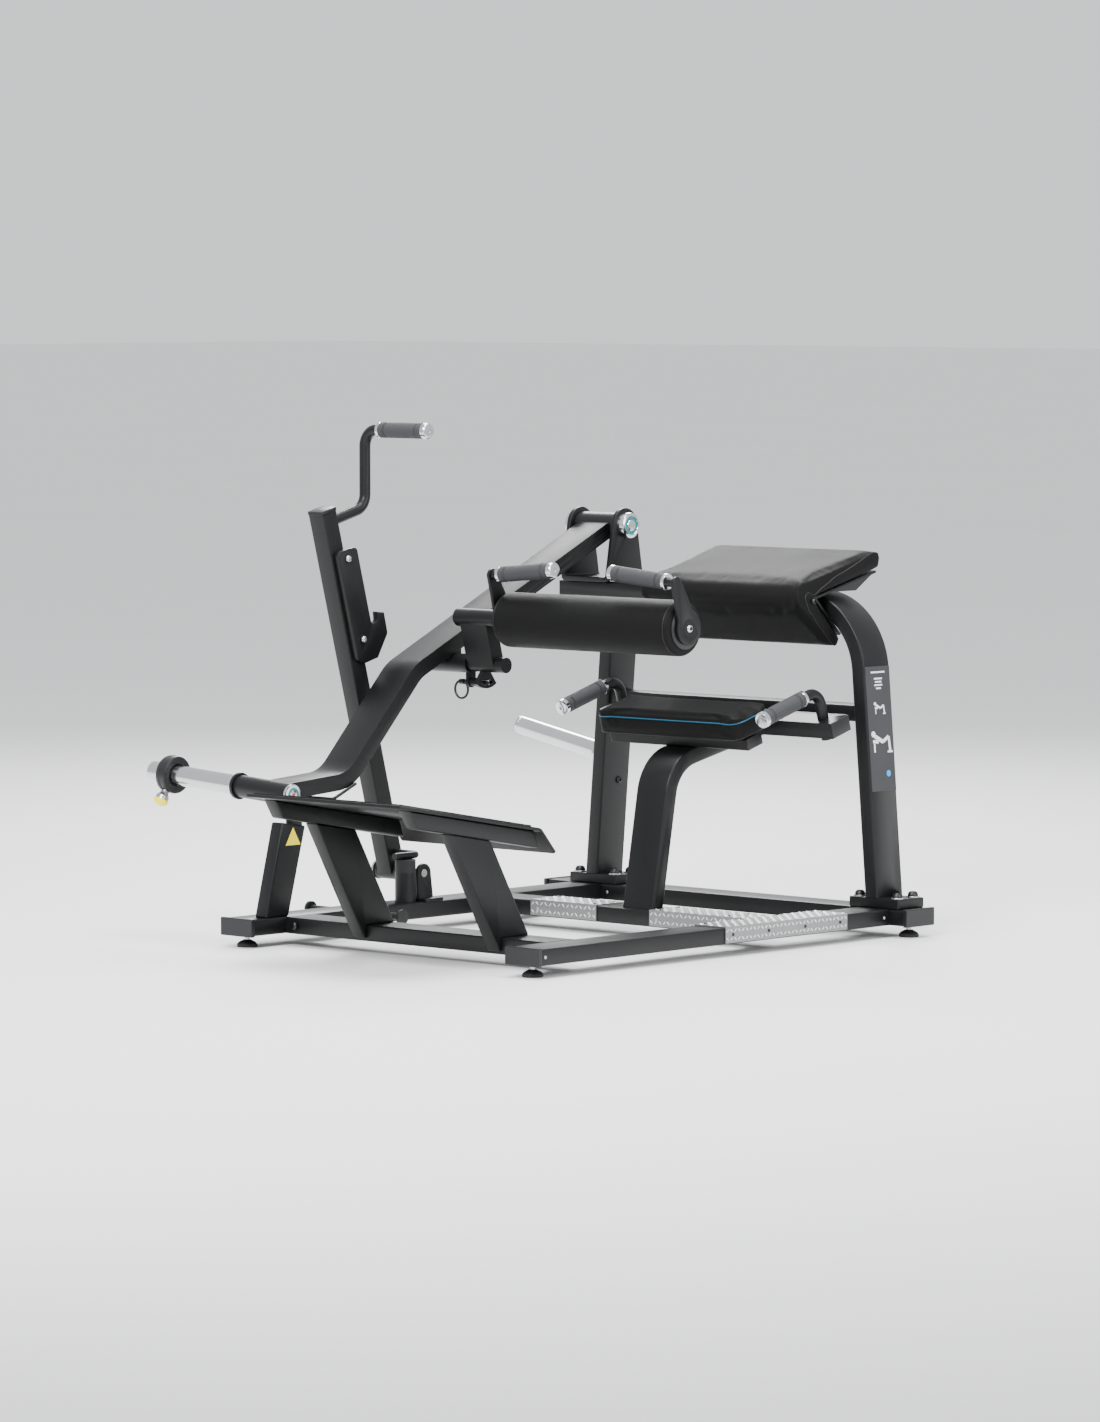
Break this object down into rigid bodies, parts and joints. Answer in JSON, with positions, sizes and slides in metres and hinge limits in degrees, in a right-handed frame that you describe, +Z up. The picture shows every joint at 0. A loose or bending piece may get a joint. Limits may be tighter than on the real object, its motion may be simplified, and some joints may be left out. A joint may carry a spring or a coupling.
{
  "type": "hip thrust machine",
  "caption": "Free-standing plate-loaded hip thrust machine: weight lever with padded roller, bench pad, seat, foot plate and a swinging rack that holds the lever up.",
  "frame": {"origin": "centre of the footprint, on the floor", "axes": "+Z up, +Y from the foot end to the head end, +X towards the side without the lever"},
  "size_m": [1.4898, 1.695, 1.267],
  "materials": {
    "frame_coat": "satin black powder coat",
    "plastic_cap": "moulded",
    "rubber_black": "matte",
    "grip_rubber": "textured",
    "bright_steel": "zinc plated",
    "chrome_tube": "polished",
    "tread_aluminium": "chequered plate",
    "placard_face": "printed sheet",
    "pad_vinyl": "grained vinyl over foam",
    "collar_plastic": "ribbed",
    "knob_metal": "turned"
  },
  "bodies": {
    "root": {"side_beam_near": "frame_coat", "side_beam_far": "frame_coat", "rear_beam": "frame_coat", "front_beam": "frame_coat", "middle_beam": "frame_coat", "beam_end_caps": "plastic_cap", "levelling_feet": "rubber_black", "foot_studs": "bright_steel", "band_pegs": "frame_coat", "side_tread_plate": "tread_aluminium", "middle_tread_plates": "tread_aluminium", "frame_bolts": "bright_steel", "gantry": "frame_coat", "rear_post_far": "frame_coat", "post_base_plates": "frame_coat", "tie_bar": "frame_coat", "placard": "placard_face", "storage_horn": "chrome_tube", "storage_horn_fittings": "chrome_tube", "pivot_bracket": "frame_coat", "pivot_shaft": "bright_steel", "pivot_caps": "chrome_tube", "seat_pad": "pad_vinyl", "seat_post": "frame_coat", "seat_crossbar": "frame_coat", "seat_front_bar": "frame_coat", "seat_handles": "frame_coat", "seat_grips": "grip_rubber", "back_pad": "pad_vinyl", "back_pad_bracket": "frame_coat", "foot_plate": "frame_coat", "foot_plate_mat": "rubber_black", "footplate_rails": "frame_coat", "footplate_posts": "frame_coat", "arm_rest_post": "frame_coat", "rack_pivot_bracket": "frame_coat", "rack_pivot_pin": "bright_steel", "rack_stop_post": "frame_coat", "rubber_bumpers": "rubber_black"},
    "lever": {"lever_arm": "frame_coat", "lever_hub": "frame_coat", "weight_tube": "frame_coat", "weight_sleeve": "chrome_tube", "catch_pin": "bright_steel", "lift_loop": "frame_coat", "carrier_housing": "frame_coat"},
    "collar": {"plate_collar": "collar_plastic"},
    "knob": {"collar_knob": "knob_metal"},
    "plunger": {"pull_plunger": "bright_steel"},
    "carrier": {"roller_carrier": "frame_coat", "roller_handles": "frame_coat", "roller_grips": "grip_rubber"},
    "roller": {"roller_pad": "pad_vinyl"},
    "rack": {"rack_upright": "frame_coat", "rack_hub": "frame_coat", "rack_hook": "frame_coat", "rack_handle": "frame_coat", "rack_grip": "grip_rubber", "rack_stop_rod": "frame_coat"}
  },
  "joints": [
    {"name": "lever_pivot", "type": "hinge", "parent": "root", "child": "lever", "pos_m": [-0.31914, 0.69988, 0.991], "axis": [-1, 0, 0], "range_deg": [0, 36]},
    {"name": "collar_slide", "type": "slide", "parent": "lever", "child": "collar", "axis": [-0.9978, 0, 0.0663], "range_m": [-0.2, 0.04]},
    {"name": "knob_pull", "type": "slide", "parent": "collar", "child": "knob", "axis": [-0.0568, -0.515, -0.8553], "range_m": [0, 0.005], "stiffness_N_per_m": 900},
    {"name": "plunger_pull", "type": "slide", "parent": "lever", "child": "plunger", "axis": [-1, 0, 0], "range_m": [0, 0.018], "stiffness_N_per_m": 900},
    {"name": "roller_tilt", "type": "hinge", "parent": "lever", "child": "carrier", "pos_m": [0.22486, 0.10888, 0.664], "axis": [1, 0, 0], "range_deg": [-15, 15]},
    {"name": "roller_spin", "type": "hinge", "parent": "carrier", "child": "roller", "pos_m": [0.22486, 0.07888, 0.781], "axis": [1, 0, 0], "continuous": true},
    {"name": "rack_pivot", "type": "hinge", "parent": "root", "child": "rack", "pos_m": [-0.42114, 0.02688, 0.139], "axis": [-1, 0, 0], "range_deg": [0, 7]}
  ]
}
